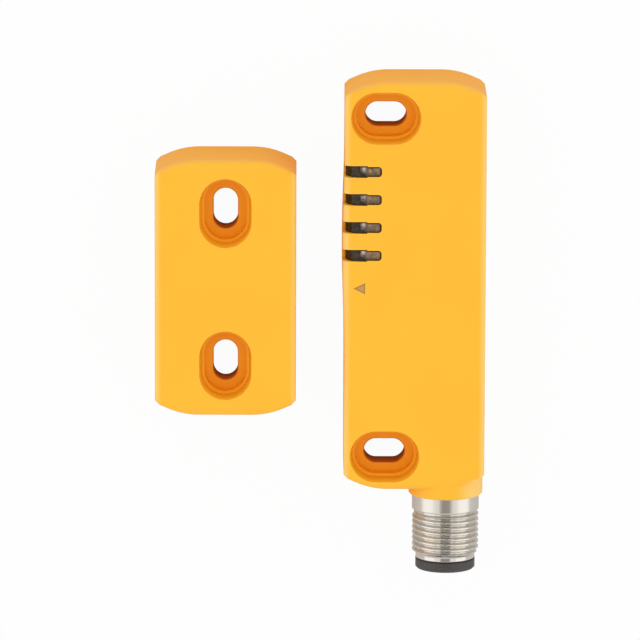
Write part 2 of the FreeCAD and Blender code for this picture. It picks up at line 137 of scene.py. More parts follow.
class ConnectorSettings(bpy.types.PropertyGroup):
    pitch: length("Pitch", "Distance between the turns of the thread", 0.001)
    thread_depth: length("Thread depth", "Height of the thread's crests over its roots", 0.00060)
    crest_drop: length("Crest drop", "How far the crests lie under the collar", 0.00005)
    margin: length("Margin", "How far the collar lies under its solid", 0.00001)
    nickel: colour("Nickel", "Colour of the plated shell", (0.68, 0.65, 0.60))
    nickel_cloud: colour("Nickel cloud", "Warmer clouds in the plating", (0.70, 0.64, 0.57))
    insert: colour("Insert", "Colour of the contact carrier", (0.040, 0.033, 0.034))
    insert_speck: colour("Insert speck", "Paler specks in the contact carrier",
                         (0.095, 0.078, 0.076))
    # seam: painted shade on the carrier where it meets the sleeve
    seam: colour("Seam", "The carrier's rim where it meets the sleeve", (0.010, 0.008, 0.008))
    contact: colour("Contact", "Colour of the plated contacts", (0.80, 0.56, 0.22))
    contact_worn: colour("Worn contact", "Paler patches of the contacts", (0.86, 0.66, 0.34))


class ElectronicsSettings(bpy.types.PropertyGroup):
    board: colour("Boards", "Colour of the lacquered boards", (0.012, 0.135, 0.048))
    track: colour("Tracks", "Colour of the tracks under the lacquer", (0.045, 0.26, 0.10))
    chip: colour("Chips", "Colour of the moulded chips", (0.018, 0.018, 0.020))
    chip_speck: colour("Chip specks", "Paler specks in the chips", (0.045, 0.044, 0.045))
    capacitor: colour("Capacitor", "Colour of the capacitor", (0.62, 0.30, 0.045))
    capacitor_cloud: colour("Capacitor clouds", "Paler clouds in the capacitor",
                            (0.70, 0.38, 0.075))
    band: colour("Band", "Colour of the band at one end of the capacitor", (0.30, 0.13, 0.02))
    spool: colour("Spools", "Colour of the coils' spools", (0.060, 0.056, 0.052))
    spool_speck: colour("Spool specks", "Paler specks in the spools", (0.095, 0.088, 0.082))
    # wire gaps: painted shade in the grooves between the turns of wire
    wire_gap_shade: colour("Wire gaps", "Colour between the turns of wire", (0.26, 0.085, 0.030))
    wire: colour("Wire", "Colour of the enamelled wire", (0.74, 0.31, 0.13))
    core: colour("Cores", "Colour of the coils' cores", (0.035, 0.036, 0.040))
    core_pore: colour("Core pores", "Paler pores in the cores", (0.085, 0.086, 0.092))
    film: colour("Film", "Colour of the flexible lead", (0.50, 0.20, 0.030))
    lane: colour("Lanes", "Colour of the conductors in the lead", (0.68, 0.34, 0.09))
    lamp: colour("Lamps", "Colour of the lamps", (0.86, 0.83, 0.70))
    lamp_cloud: colour("Lamp clouds", "Deeper clouds in the lamps", (0.78, 0.72, 0.52))


class MarkSettings(bpy.types.PropertyGroup):
    ink: colour("Mark", "Colour of the middle of the mark", (0.50, 0.26, 0.070))
    ink_speck: colour("Mark speck", "Paler specks in the middle of the mark",
                      (0.60, 0.31, 0.075))
    outline: colour("Outline", "Colour of the mark's outline", (0.38, 0.185, 0.045))
    arrow_x: length("Arrow place", "Where the solid triangle is centred, along X", -0.00985, -1)
    arrow_width: length("Arrow width", "Width of the triangle from tip to back", 0.00205)
    arrow_height: length("Arrow height", "Height of the triangle's back", 0.0020)
    line_width: length("Line width", "Width of the mark's outline", 0.00022)
    thickness: length("Thickness", "How far a mark stands over the surface", 0.00001)


class StageSettings(bpy.types.PropertyGroup):
    centre: bpy.props.FloatVectorProperty(name="Centre", size=3, unit="LENGTH",
                                          description="The point at the picture's centre",
                                          default=(-0.01674, -0.00735, 0.0085))
    distance: length("Distance", "From the camera to the centre", 1.1949)
    elevation: bpy.props.FloatProperty(name="Lean", description="Camera lean towards +Y",
                                       default=math.radians(11.274), subtype="ANGLE")
    azimuth: bpy.props.FloatProperty(name="Side lean", description="Camera lean towards +X",
                                     default=math.radians(-0.207), subtype="ANGLE")
    roll: bpy.props.FloatProperty(name="Roll", description="Turn of the picture",
                                  default=math.radians(0.197), subtype="ANGLE")
    lens: bpy.props.FloatProperty(name="Lens", description="Focal length in millimetres",
                                  default=377.7)
    floor_size: length("Floor", "Side of the floor", 4.0)
    floor_shade: share("Floor shade", "Share of the floor's look that takes shadow", 0.04)
    floor_colour: share("Floor colour", "How pale the floor is to the object", 0.70)
    room_level: share("Room level", "Strength of the even light of the room", 1.02, 5.0)
    dark_ends: share("Dark ends", "How bright the room beyond the ends looks in metal", 0.75)
    end_power: bpy.props.FloatProperty(name="End power", min=0.0, default=1.7,
                                       description="Power of the soft end light in watts")
    side_power: bpy.props.FloatProperty(name="Side power", min=0.0, default=1.25,
                                        description="Power of each soft side light in watts")
    side_place: bpy.props.FloatVectorProperty(name="Side place", size=3, unit="LENGTH",
                                              description="Where the right side light stands",
                                              default=(1.3, -0.25, 0.62))
    side_size: length("Side size", "Width and height of each side light", 1.1)
    end_place: bpy.props.FloatVectorProperty(name="End place", size=3, unit="LENGTH",
                                             description="Where the end light stands",
                                             default=(-0.01, 1.4, 0.35))
    end_size: length("End size", "Width and height of the end light", 1.0)
    card_width: length("Card width", "Width of the grey card behind the camera", 0.84)
    card_height: length("Card height", "Height of the grey card", 1.10)
    card_level: share("Card level", "How bright the card looks in metal", 0.34)


SETTINGS = {
    "switch_housing": HousingSettings,
    "switch_window": WindowSettings,
    "switch_connector": ConnectorSettings,
    "switch_electronics": ElectronicsSettings,
    "switch_mark": MarkSettings,
    "switch_stage": StageSettings,
}


def settings(name):
    """One group of the add-on's settings."""
    return getattr(bpy.context.scene, name)


# Shader maths

class Socket:
    """A number or link in a material, on which plain arithmetic adds Math nodes."""

    def __init__(self, nodes, value):
        self.nodes = nodes
        self.value = value

    def maths(self, operation, *others):
        inputs = {index: value for index, value in enumerate((self,) + others)}
        return self.nodes.add("ShaderNodeMath", {"operation": operation}, inputs)

    def __add__(self, other):
        return self.maths("ADD", other)

    def __radd__(self, other):
        return self.maths("ADD", other)

    def __sub__(self, other):
        return self.maths("SUBTRACT", other)

    def __rsub__(self, other):
        return self.nodes.wrap(other).maths("SUBTRACT", self)

    def __mul__(self, other):
        return self.maths("MULTIPLY", other)

    def __truediv__(self, other):
        return self.maths("DIVIDE", other)

    def __gt__(self, other):
        return self.maths("GREATER_THAN", other)

    def __lt__(self, other):
        return self.maths("LESS_THAN", other)

    def ramp(self, low, high):
        """0 below low, 1 above high, and smooth between them."""
        return self.nodes.add("ShaderNodeMapRange", {"interpolation_type": "SMOOTHSTEP"},
                              {"Value": self, "From Min": low, "From Max": high})


class Nodes:
    """The node tree of one material, or of the world."""

    def __init__(self, name, owner=None):
        self.material = owner or bpy.data.materials.new(name)
        self.material.use_nodes = True
        self.tree = self.material.node_tree
        self.tree.nodes.clear()

    def wrap(self, value):
        return value if isinstance(value, Socket) else Socket(self, value)

    def add(self, kind, options=None, inputs=None, output=0):
        """One node: its type, then its settings, then the values or links of its inputs."""
        node = self.tree.nodes.new(kind)
        for key, value in (options or {}).items():
            setattr(node, key, value)
        for key, value in (inputs or {}).items():
            socket = node.inputs[key]
            if isinstance(value, Socket):
                value = value.value
            if isinstance(value, bpy.types.NodeSocket):
                self.tree.links.new(value, socket)
            else:
                socket.default_value = value
        return Socket(self, node.outputs[output]) if node.outputs else None

    def place(self):
        return self.add("ShaderNodeTexCoord", output="Object")

    def axes(self):
        place = self.place()
        split = self.add("ShaderNodeSeparateXYZ", None, {0: place})
        node = split.value.node
        return [Socket(self, node.outputs[index]) for index in range(3)]

    def noise(self, width, detail=3.0, roughness=0.5):
        """Noise whose grains are about width metres wide."""
        return self.add("ShaderNodeTexNoise", {"noise_dimensions": "3D"},
                        {"Vector": self.place(), "Scale": 1.0 / width,
                         "Detail": detail, "Roughness": roughness})

    def mix(self, factor, first, second):
        """A colour between two colours."""
        return self.add("ShaderNodeMix", {"data_type": "RGBA"},
                        {0: factor, 6: opaque(first), 7: opaque(second)}, output=2)

    def mask(self, x, y, centre_x, centre_y, half_x, half_y, radius):
        """1 within radius of a rectangle's centre lines, and 0 outside it: the plan of a
        slot, in which the slot runs half_x or half_y to each side of its centre."""
        past_x = ((x - centre_x).maths("ABSOLUTE") - half_x).maths("MAXIMUM", 0.0)
        past_y = ((y - centre_y).maths("ABSOLUTE") - half_y).maths("MAXIMUM", 0.0)
        return (past_x * past_x + past_y * past_y) < radius * radius

    def bump(self, height, distance):
        """A normal bent by a height between 0 and 1 that stands for distance metres."""
        return self.add("ShaderNodeBump", None, {"Height": height, "Distance": distance})

    def surface(self, **inputs):
        """A Principled shader from inputs such as Base_Color=colour."""
        return self.add("ShaderNodeBsdfPrincipled", None,
                        {key.replace("_", " "): opaque(value) for key, value in inputs.items()})

    def finish(self, shader):
        self.add("ShaderNodeOutputMaterial", None, {"Surface": shader})
        return self.material


def opaque(value):
    """A colour given by three numbers, with full alpha."""
    if isinstance(value, (Socket, float, int)):
        return value
    return (*tuple(value)[:3], 1.0)


# Finishes

def slot_plan(nodes, x, y, size_along, size_across):
    """1 inside the plan of four slots of this size at the places of the screw slots, and 0
    elsewhere. Each half's two slots lie evenly to both sides of its middle, so
    |y - middle| serves both."""
    look = settings("switch_housing")
    run = (size_along - size_across) / 2
    reach = size_across / 2
    sensor = MOUNTS["sensor_slots"]["pos_m"]
    pair = MOUNTS["actuator_slots"]
    sensor_y = (y - sensor[1]).maths("ABSOLUTE")
    actuator_y = (y - pair["pos_m"][1]).maths("ABSOLUTE")
    apart = pair["dims"]["spacing_y_mm"] * MM / 2
    across = nodes.mask(x, sensor_y, sensor[0], look.sensor_slot_y, run, 0.0, reach)
    lengthways = nodes.mask(x, actuator_y, pair["pos_m"][0], apart, 0.0, run, reach)
    return across + lengthways


def painted_highlight_mask(x, y, z, low, high, high_y):
    """1 where the plastic carries a painted highlight and 0 elsewhere: on the rounded front
    edges along both sides of each housing, and on the right flank of the boss and of the
    shoulder over it.
    low and high are the corners of the actuator's box, and high_y is the sensor's far end.
    The sensor's middle lies at x = 0, so middle_x is 0 there."""
    half = (high.x - low.x) / 2
    middle_x = (x < high.x) * ((low.x + high.x) / 2)
    sides = (x - middle_x).maths("ABSOLUTE").ramp(half - 1.3 * MM, half) \
        * z.ramp(high.z - 2.0 * MM, high.z - MM)
    flank = (x - CONNECTOR_X).ramp(1.4 * MM, 5.0 * MM) * z.ramp(CONNECTOR_Z, CONNECTOR_Z + MM)
    boss = flank * (y < -high_y + 0.4 * MM) * 0.8
    shoulder = flank * (y < -high_y + 2.5 * MM) \
        * (1.0 - z.ramp(high.z - 0.6 * MM, high.z - 0.15 * MM))
    return sides.maths("MAXIMUM", boss).maths("MAXIMUM", shoulder)


def housing_plastic():
    """Moulded thermoplastic: a fine spark texture, with the slightest drift of tone. Painted
    shade makes its tone deeper below the front and on the recess walls, a painted highlight
    makes it paler where the front rounds over to the sides and on the boss's right flank, and
    painted shade makes it dark in the narrow screw slots, which are also dry."""
    look = settings("switch_housing")
    nodes = Nodes("housing_plastic")
    x, y, z = nodes.axes()
    drift = nodes.noise(0.018, 2.0)
    speck = nodes.noise(look.grain, 2.0, 0.6)
    low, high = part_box("actuator_housing")
    high_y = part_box("sensor_housing")[1].y
    tone = nodes.mix((drift * 0.6 + speck * 0.4).ramp(0.42, 0.68), look.plastic, look.shade)
    # painted shade: the plastic turns darker below the front
    tone = nodes.mix(z.ramp(high.z - 4.2 * MM, high.z - 1.8 * MM), look.deep, tone)
    ledge_z = high.z - look.ledge_depth
    # painted shade on the recess walls, darkest at the ledge
    wall = nodes.mix(z.ramp(ledge_z, high.z), look.recess_wall_shade, look.plastic)
    recess_shade_mask = slot_plan(nodes, x, y, look.recess_length, look.recess_width) \
        * (z > ledge_z + 0.06 * MM) * (z < high.z - 0.02 * MM)
    tone = nodes.mix(recess_shade_mask, tone, wall)
    # painted highlight where the front rounds over to the sides and on the boss's flank
    tone = nodes.mix(painted_highlight_mask(x, y, z, low, high, high_y), tone, look.pale)
    # painted shade in the screw slots and in a thin line round them; the slots are also rougher
    seat_z = MOUNTS["sensor_slots"]["pos_m"][2]
    line = 2 * look.slot_shade_line
    slot_shade = slot_plan(nodes, x, y, look.slot_length + line, look.slot_width + line) \
        * (1.0 - z.ramp(seat_z + 0.02 * MM, seat_z + 0.3 * MM))
    base = nodes.mix(slot_shade, tone, look.slot_shade)
    rough = look.roughness + (speck - 0.5) * 0.10 + (drift - 0.5) * 0.06 + slot_shade * 0.3
    normal = nodes.bump(speck, look.grain_height)
    shader = nodes.surface(Base_Color=base, Roughness=rough, Normal=normal,
                           Specular_IOR_Level=0.24)
    return nodes.finish(shader)


def smoked_window():
    """Smoked clear plastic. The part that rolls over the edge is nearly black, a painted
    highlight runs where the roll starts, and the part over each lamp is paler, cloudy and
    darker towards the connector. Painted shade makes a dark line round each lens."""
    look = settings("switch_window")
    nodes = Nodes("smoked_window")
    x, y, _ = nodes.axes()
    first, last = (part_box("status_led_%d" % number) for number in (1, 4))
    lamp_x = (last[0].x + last[1].x) / 2
    last_y = (last[0].y + last[1].y) / 2
    pitch = ((first[0].y + first[1].y) / 2 - last_y) / 3
    across = (((y - last_y) / pitch + 0.5).maths("FRACT") - 0.5) * pitch
    over_lamp = x.ramp(lamp_x - 0.7 * MM, lamp_x + 0.2 * MM)
    cloud = nodes.noise(0.0010, 3.0, 0.6)
    spot = nodes.noise(0.0006, 1.0)
    pale = nodes.mix(cloud.ramp(0.36, 0.68), look.cloud, look.lamp_side)
    warm = nodes.mix(spot.ramp(0.58, 0.72), pale, look.spot)
    shaded = nodes.mix(across.ramp(-1.0 * MM, 0.3 * MM), look.shadow, warm)
    streak = nodes.noise(0.0007, 2.0)
    dark = nodes.mix(streak.ramp(0.4, 0.7), look.smoke, look.streak)
    # painted highlight in a narrow band where each lens starts to roll over
    painted_highlight_band = x.ramp(lamp_x - 1.35 * MM, lamp_x - 0.70 * MM) \
        * (1.0 - x.ramp(lamp_x - 0.70 * MM, lamp_x - 0.05 * MM))
    glint = painted_highlight_band * across.ramp(-0.6 * MM, 0.85 * MM) * streak.ramp(0.25, 0.55)
    base = nodes.mix(glint, nodes.mix(over_lamp, dark, shaded), look.glint)
    half = look.outer_half - (x > lamp_x) * (look.outer_half - look.inner_half)
    inside = half - across.maths("ABSOLUTE")
    inner_end = lamp_x + look.inner_reach - x
    # painted shade: a dark line round each lens, where it meets the housing
    rim = 1.0 - inside.maths("MINIMUM", inner_end).ramp(look.rim * 0.3, look.rim)
    base = nodes.mix(rim * 0.9, base, look.rim_shade)
    normal = nodes.bump(nodes.noise(0.0016, 1.0), 0.00002)
    foot = 1.0 - x.ramp(lamp_x - 3.5 * MM, lamp_x - 3.1 * MM)
    shader = nodes.surface(Base_Color=base, Roughness=0.10 + cloud * 0.10 + foot * 0.6,
                           Normal=normal, Specular_IOR_Level=0.25)
    return nodes.finish(shader)


def nickel_plate():
    """Turned and nickel-plated brass: rings left by the tool and a faint warm cloud. The
    plain collar next to the housing is a little duller than the thread."""
    look = settings("switch_connector")
    nodes = Nodes("nickel_plate")
    _, y, _ = nodes.axes()
    rings = nodes.add("ShaderNodeTexNoise", {"noise_dimensions": "1D"},
                      {"W": y * 24000.0, "Detail": 2.0, "Scale": 1.0})
    cloud = nodes.noise(0.004, 3.0)
    base = nodes.mix(cloud.ramp(0.40, 0.75), look.nickel, look.nickel_cloud)
    collar = y.ramp(CONNECTOR_Y + THREAD_LENGTH / 2, CONNECTOR_Y + THREAD_LENGTH / 2 + MM)
    rough = 0.12 + collar * 0.11 + (rings - 0.5) * 0.08 + (cloud - 0.5) * 0.06
    normal = nodes.bump(rings, 0.0000022)
    shader = nodes.surface(Base_Color=base, Metallic=1.0, Roughness=rough, Normal=normal)
    return nodes.finish(shader)


def insert_plastic():
    """Glass-filled black plastic with a dry, faintly speckled face, and painted shade that makes
    it darkest where its rim meets the shell."""
    look = settings("switch_connector")
    nodes = Nodes("insert_plastic")
    speck = nodes.noise(0.00018, 3.0, 0.7)
    _, y, _ = nodes.axes()
    base = nodes.mix(speck.ramp(0.45, 0.70), look.insert, look.insert_speck)
    seam_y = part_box("connector_shell")[0].y
    # painted shade on the carrier inside the shell
    base = nodes.mix(y.ramp(seam_y - 0.4 * MM, seam_y - 0.1 * MM), base, look.seam)
    normal = nodes.bump(speck, 0.000008)
    shader = nodes.surface(Base_Color=base, Roughness=0.50 + (speck - 0.5) * 0.2,
                           Normal=normal)
    return nodes.finish(shader)


def gold_contact():
    look = settings("switch_connector")
    nodes = Nodes("gold_contact")
    wear = nodes.noise(0.0005, 2.0)
    base = nodes.mix(wear.ramp(0.4, 0.7), look.contact, look.contact_worn)
    shader = nodes.surface(Base_Color=base, Metallic=1.0, Roughness=0.18 + wear * 0.12)
    return nodes.finish(shader)


def board_laminate():
    """Lacquered board: conductor tracks show as a paler, slightly raised pattern."""
    look = settings("switch_electronics")
    nodes = Nodes("board_laminate")
    x, y, _ = nodes.axes()
    lanes = (x * 1400.0).maths("SINE") * (y * 900.0).maths("SINE")
    track = lanes.ramp(0.25, 0.45) * nodes.noise(0.004, 1.0).ramp(0.45, 0.55)
    base = nodes.mix(track, look.board, look.track)
    normal = nodes.bump(track, 0.00003)
    shader = nodes.surface(Base_Color=base, Roughness=0.32 + track * 0.1, Normal=normal,
                           Coat_Weight=0.4)
    return nodes.finish(shader)


def chip_package():
    look = settings("switch_electronics")
    nodes = Nodes("chip_package")
    speck = nodes.noise(0.00012, 3.0, 0.7)
    base = nodes.mix(speck.ramp(0.4, 0.7), look.chip, look.chip_speck)
    shader = nodes.surface(Base_Color=base, Roughness=0.55 + (speck - 0.5) * 0.2,
                           Normal=nodes.bump(speck, 0.000006))
    return nodes.finish(shader)


def capacitor_body():
    look = settings("switch_electronics")
    nodes = Nodes("capacitor_body")
    x, _, _ = nodes.axes()
    cloud = nodes.noise(0.0012, 2.0)
    yellow = nodes.mix(cloud.ramp(0.4, 0.7), look.capacitor, look.capacitor_cloud)
    band = x.ramp(0.0072, 0.0073)
    base = nodes.mix(band, yellow, look.band)
    shader = nodes.surface(Base_Color=base, Roughness=0.38 + cloud * 0.12)
    return nodes.finish(shader)


def spool_plastic():
    look = settings("switch_electronics")
    nodes = Nodes("spool_plastic")
    speck = nodes.noise(0.0003, 2.0)
    base = nodes.mix(speck.ramp(0.4, 0.7), look.spool, look.spool_speck)
    shader = nodes.surface(Base_Color=base, Roughness=0.48 + (speck - 0.5) * 0.15)
    return nodes.finish(shader)


def copper_wire():
    """Enamelled wire in close turns about the X axis."""
    look = settings("switch_electronics")
    nodes = Nodes("copper_wire")
    x, _, _ = nodes.axes()
    turns = (x * (2 * math.pi / 0.00012)).maths("SINE")
    # painted shade between the turns of wire
    base = nodes.mix(turns.ramp(-0.6, 0.4), look.wire_gap_shade, look.wire)
    shader = nodes.surface(Base_Color=base, Metallic=0.85, Roughness=0.30,
                           Normal=nodes.bump(turns, 0.00002))
    return nodes.finish(shader)


def ferrite():
    look = settings("switch_electronics")
    nodes = Nodes("ferrite")
    pores = nodes.noise(0.00025, 4.0, 0.7)
    base = nodes.mix(pores.ramp(0.35, 0.7), look.core, look.core_pore)
    shader = nodes.surface(Base_Color=base, Roughness=0.42 + (pores - 0.5) * 0.3,
                           Normal=nodes.bump(pores, 0.00001))
    return nodes.finish(shader)


def flex_film():
    look = settings("switch_electronics")
    nodes = Nodes("flex_film")
    x, _, _ = nodes.axes()
    lanes = (x * (2 * math.pi / 0.00045)).maths("SINE").ramp(0.0, 0.5)
    base = nodes.mix(lanes, look.film, look.lane)
    shader = nodes.surface(Base_Color=base, Roughness=0.28 + lanes * 0.08)
    return nodes.finish(shader)


def lamp_body():
    look = settings("switch_electronics")
    nodes = Nodes("lamp_body")
    cloud = nodes.noise(0.0005, 2.0)
    base = nodes.mix(cloud.ramp(0.4, 0.7), look.lamp, look.lamp_cloud)
    shader = nodes.surface(Base_Color=base, Roughness=0.22 + cloud * 0.1)
    return nodes.finish(shader)


def laser_mark():
    """The plastic browned by the laser: a darker outline round an uneven, paler middle.
    The outline is what lies within line_width of one of the triangle's three sides."""
    look = settings("switch_mark")
    nodes = Nodes("laser_mark")
    x, y, _ = nodes.axes()
    slope = look.arrow_height / 2 / look.arrow_width
    tip_x = look.arrow_x - look.arrow_width / 2
    from_back = look.arrow_x + look.arrow_width / 2 - x
    from_flank = ((x - tip_x) * slope - y.maths("ABSOLUTE")) / math.hypot(1.0, slope)
    edge = from_back.maths("MINIMUM", from_flank)
    speck = nodes.noise(0.00016, 3.0, 0.7)
    middle = nodes.mix(speck.ramp(0.35, 0.70), look.ink, look.ink_speck)
    base = nodes.mix(edge.ramp(look.line_width * 0.6, look.line_width * 1.4), look.outline,
                     middle)
    shader = nodes.surface(Base_Color=base, Roughness=0.62 + (speck - 0.5) * 0.15)
    return nodes.finish(shader)


FINISHES = {}


def finish_of(maker):
    """The material that a function makes, made once."""
    if maker.__name__ not in FINISHES:
        FINISHES[maker.__name__] = maker()
    return FINISHES[maker.__name__]


def dress(node, maker):
    """Gives a CAD node its material."""
    slots = NODES[node].data.materials
    slots.clear()
    slots.append(finish_of(maker))


# Meshes

def link(name, mesh, maker, body):
    """Puts a finished mesh into the scene on its body, with its material slot."""
    piece = bpy.data.objects.new(name, mesh)
    bpy.context.scene.collection.objects.link(piece)
    mesh.materials.clear()
    mesh.materials.append(finish_of(maker))
    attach(piece, body)
    return piece


def smooth_by_angle(mesh, angle):
    """Smooth faces, with an edge kept sharp where its faces turn by more than angle."""
    work = bmesh.new()
    work.from_mesh(mesh)
    for face in work.faces:
        face.smooth = True
    for edge in work.edges:
        edge.smooth = len(edge.link_faces) == 2 and edge.calc_face_angle(0.0) < angle
    work.to_mesh(mesh)
    work.free()


def smooth_copy(node, maker):
    """A merged copy of a CAD node with rounded shading, which stands in for the node."""
    mesh = NODES[node].data.copy()
    work = bmesh.new()
    work.from_mesh(mesh)
    bmesh.ops.remove_doubles(work, verts=work.verts, dist=0.000002)
    bmesh.ops.dissolve_degenerate(work, edges=work.edges, dist=0.000001)
    work.to_mesh(mesh)
    work.free()
    stored = mesh.attributes.get("custom_normal")
    if stored:
        mesh.attributes.remove(stored)
    smooth_by_angle(mesh, math.radians(32))
    piece = link(node + "_shell", mesh, maker, BODY_OF[node])
    weighting = piece.modifiers.new("even_normals", "WEIGHTED_NORMAL")
    weighting.mode = "FACE_AREA"
    weighting.keep_sharp = True
    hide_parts(node)


def closed_grid(points):
    """A mesh of quads from points[row, column], closed along both directions."""
    rows, columns = points.shape[:2]
    row, column = np.meshgrid(np.arange(rows), np.arange(columns), indexing="ij")
    next_row = (row + 1) % rows
    next_column = (column + 1) % columns
    quads = np.stack([row * columns + column, row * columns + next_column,
                      next_row * columns + next_column, next_row * columns + column], axis=-1)
    mesh = bpy.data.meshes.new("grid")
    mesh.from_pydata(points.reshape(-1, 3).tolist(), [], quads.reshape(-1, 4).tolist())
    mesh.update()
    return mesh


def along(start, end, count):
    """Evenly spaced (radius, y) pairs from start towards end, without the end."""
    step = np.linspace(0.0, 1.0, count, endpoint=False)[:, None]
    return np.asarray(start) * (1 - step) + np.asarray(end) * step


def thread_wave(phase):
    """A rounded triangle between 0 at the crest and 1 at the root, once for each turn."""
    saw = np.abs(2.0 * (phase - np.floor(phase)) - 1.0)
    return np.clip((saw - 0.26) / 0.62, 0.0, 1.0)


def shell_surface():
    """The connector shell as one closed sheet. Its section is carried round the axis; on
    the threaded stretch the radius falls from the outer radius by the thread's depth times
    a rounded triangle of (distance along the axis / pitch - angle / full turn)."""
    look = settings("switch_connector")
    low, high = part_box("connector_shell")
    y_inner, y_end = high.y, low.y
    plain = (high.x - low.x) / 2 - look.margin
    radius = plain - look.crest_drop
    start = CONNECTOR_Y + THREAD_LENGTH / 2
    stop = CONNECTOR_Y - THREAD_LENGTH / 2
    collar = start + 0.4 * MM
    undercut = radius - 0.45 * MM
    neck = 5.28 * MM
    bore = 4.85 * MM
    soft = 0.12 * MM
    fade = 0.5 * MM
    turn_steps = 144
    rows = [
        along((bore, y_inner), (plain, y_inner), 3),
        along((plain, y_inner), (plain, collar + soft), 30),
        along((plain, collar + soft), (plain - soft, collar), 4),
        along((plain - soft, collar), (undercut, collar - soft), 4),
        along((undercut, collar - soft), (undercut, start), 3),
        along((undercut, start), (radius, start - 0.35 * MM), 6),
        along((radius, start - 0.35 * MM), (radius, stop + 0.1 * MM), 150),
        along((radius, stop + 0.1 * MM), (neck, stop - 0.5 * MM), 12),
        along((neck, stop - 0.5 * MM), (neck, y_end + soft), 6),
        along((neck, y_end + soft), (neck - soft, y_end), 4),
        along((neck - soft, y_end), (bore, y_end), 3),
        along((bore, y_end), (bore, y_inner), 10),
    ]
    profile = np.concatenate(rows)
    angles = np.linspace(0.0, 2 * math.pi, turn_steps, endpoint=False)
    outer = profile[:, 0][:, None]
    y = profile[:, 1][:, None]
    fade_in = np.clip((start + 0.1 * MM - y) / fade, 0.0, 1.0)
    fade_out = np.clip((y - stop + 0.45 * MM) / fade, 0.0, 1.0)
    outside = outer > neck - soft / 2
    wave = thread_wave((start - y) / look.pitch + angles[None, :] / (2 * math.pi))
    cut = radius - look.thread_depth * wave
    threaded = np.minimum(outer, outer + (cut - radius) * fade_in * fade_out)
    r = np.where(outside & (fade_in * fade_out > 0), threaded, outer)
    x = CONNECTOR_X + r * np.cos(angles)
    z = CONNECTOR_Z + r * np.sin(angles)
    return np.stack([x, np.broadcast_to(y, x.shape), z], axis=-1)


# Operators

class SWITCH_OT_housings(bpy.types.Operator):
    """Finish both moulded housings and their rear covers"""
    bl_idname = "switch.housings"
    bl_label = "Housings"

    def execute(self, context):
        for node in ("sensor_housing", "actuator_housing",
                     "sensor_rear_cover", "actuator_rear_cover"):
            smooth_copy(node, housing_plastic)
        return {"FINISHED"}


class SWITCH_OT_windows(bpy.types.Operator):
    """Finish the smoked light guide and the lamps under it"""
    bl_idname = "switch.windows"
    bl_label = "Status windows"

    def execute(self, context):
        smooth_copy("light_guide", smoked_window)
        for number in range(1, 5):
            dress("status_led_%d" % number, lamp_body)
        return {"FINISHED"}


class SWITCH_OT_connector(bpy.types.Operator):
    """Turn the threaded shell and finish the insert and its contacts"""
    bl_idname = "switch.connector"
    bl_label = "Connector"

    def execute(self, context):
        mesh = closed_grid(shell_surface())
        smooth_by_angle(mesh, math.radians(50))
        shell = link("threaded_shell", mesh, nickel_plate, "sensor")
        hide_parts("connector_shell")
        smooth_copy("contact_carrier", insert_plastic)
        for number in range(1, 6):
            smooth_copy("contact_pin_%d" % number, gold_contact)
        return {"FINISHED"}


class SWITCH_OT_electronics(bpy.types.Operator):
    """Finish the boards and what they carry"""
    bl_idname = "switch.electronics"
    bl_label = "Electronics"

    def execute(self, context):
        for node in ("circuit_board", "connector_board", "transponder_board"):
            dress(node, board_laminate)
        for node in ("controller_chip", "antenna_chip", "output_driver_1", "output_driver_2",
                     "voltage_regulator", "transponder_chip"):
            dress(node, chip_package)
        dress("smoothing_capacitor", capacitor_body)
        dress("connector_flex", flex_film)
        for half in ("antenna", "transponder"):
            dress(half + "_spool", spool_plastic)
            dress(half + "_winding", copper_wire)
            dress(half + "_core", ferrite)
        return {"FINISHED"}


def flat_mark(name, outline, z):
    """A thin plate from an outline of (x, y) points."""
    look = settings("switch_mark")
    count = len(outline)
    low = [(x, y, z) for x, y in outline]
    high = [(x, y, z + look.thickness) for x, y in outline]
    sides = [(i, (i + 1) % count, count + (i + 1) % count, count + i) for i in range(count)]
    faces = [tuple(range(count - 1, -1, -1)), tuple(range(count, 2 * count))] + sides
    mesh = bpy.data.meshes.new(name)
    mesh.from_pydata(low + high, [], faces)
    mesh.update()
    link(name, mesh, laser_mark, "sensor")


class SWITCH_OT_marks(bpy.types.Operator):
    """Mark the sensing side with a small triangle on the sensor's front"""
    bl_idname = "switch.marks"
    bl_label = "Marks"

    def execute(self, context):
        look = settings("switch_mark")
        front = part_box("light_guide")[1].z
        half_width = look.arrow_width / 2
        half_height = look.arrow_height / 2
        flat_mark("target_arrow", [(look.arrow_x - half_width, 0.0),
                                   (look.arrow_x + half_width, -half_height),
                                   (look.arrow_x + half_width, half_height)], front)
        return {"FINISHED"}


def white_floor():
    """A white floor: mostly an even white for the camera, with a share that takes the
    object's soft shadow."""
    look = settings("switch_stage")
    nodes = Nodes("white_floor")
    seen = nodes.add("ShaderNodeLightPath", output="Is Camera Ray")
    shade = look.floor_colour
    matt = nodes.add("ShaderNodeBsdfDiffuse", None, {"Color": (shade, shade, shade, 1.0)})
    glow = nodes.add("ShaderNodeEmission", None, {"Color": (1.0, 1.0, 1.0, 1.0),
                                                  "Strength": 1.0})
    white = nodes.add("ShaderNodeMixShader", None,
                      {0: seen * (1.0 - look.floor_shade), 1: matt, 2: glow})
    return nodes.finish(white)


def grey_card():
    """As bright as the room to matt surfaces, and grey to what mirrors it."""
    look = settings("switch_stage")
    nodes = Nodes("grey_card")
    mirrored = nodes.add("ShaderNodeLightPath", output="Is Glossy Ray")
    level = look.room_level - mirrored * (look.room_level - look.card_level)
    glow = nodes.add("ShaderNodeEmission", None, {"Color": (1.0, 0.94, 0.88, 1.0),
                                                  "Strength": level})
    return nodes.finish(glow)


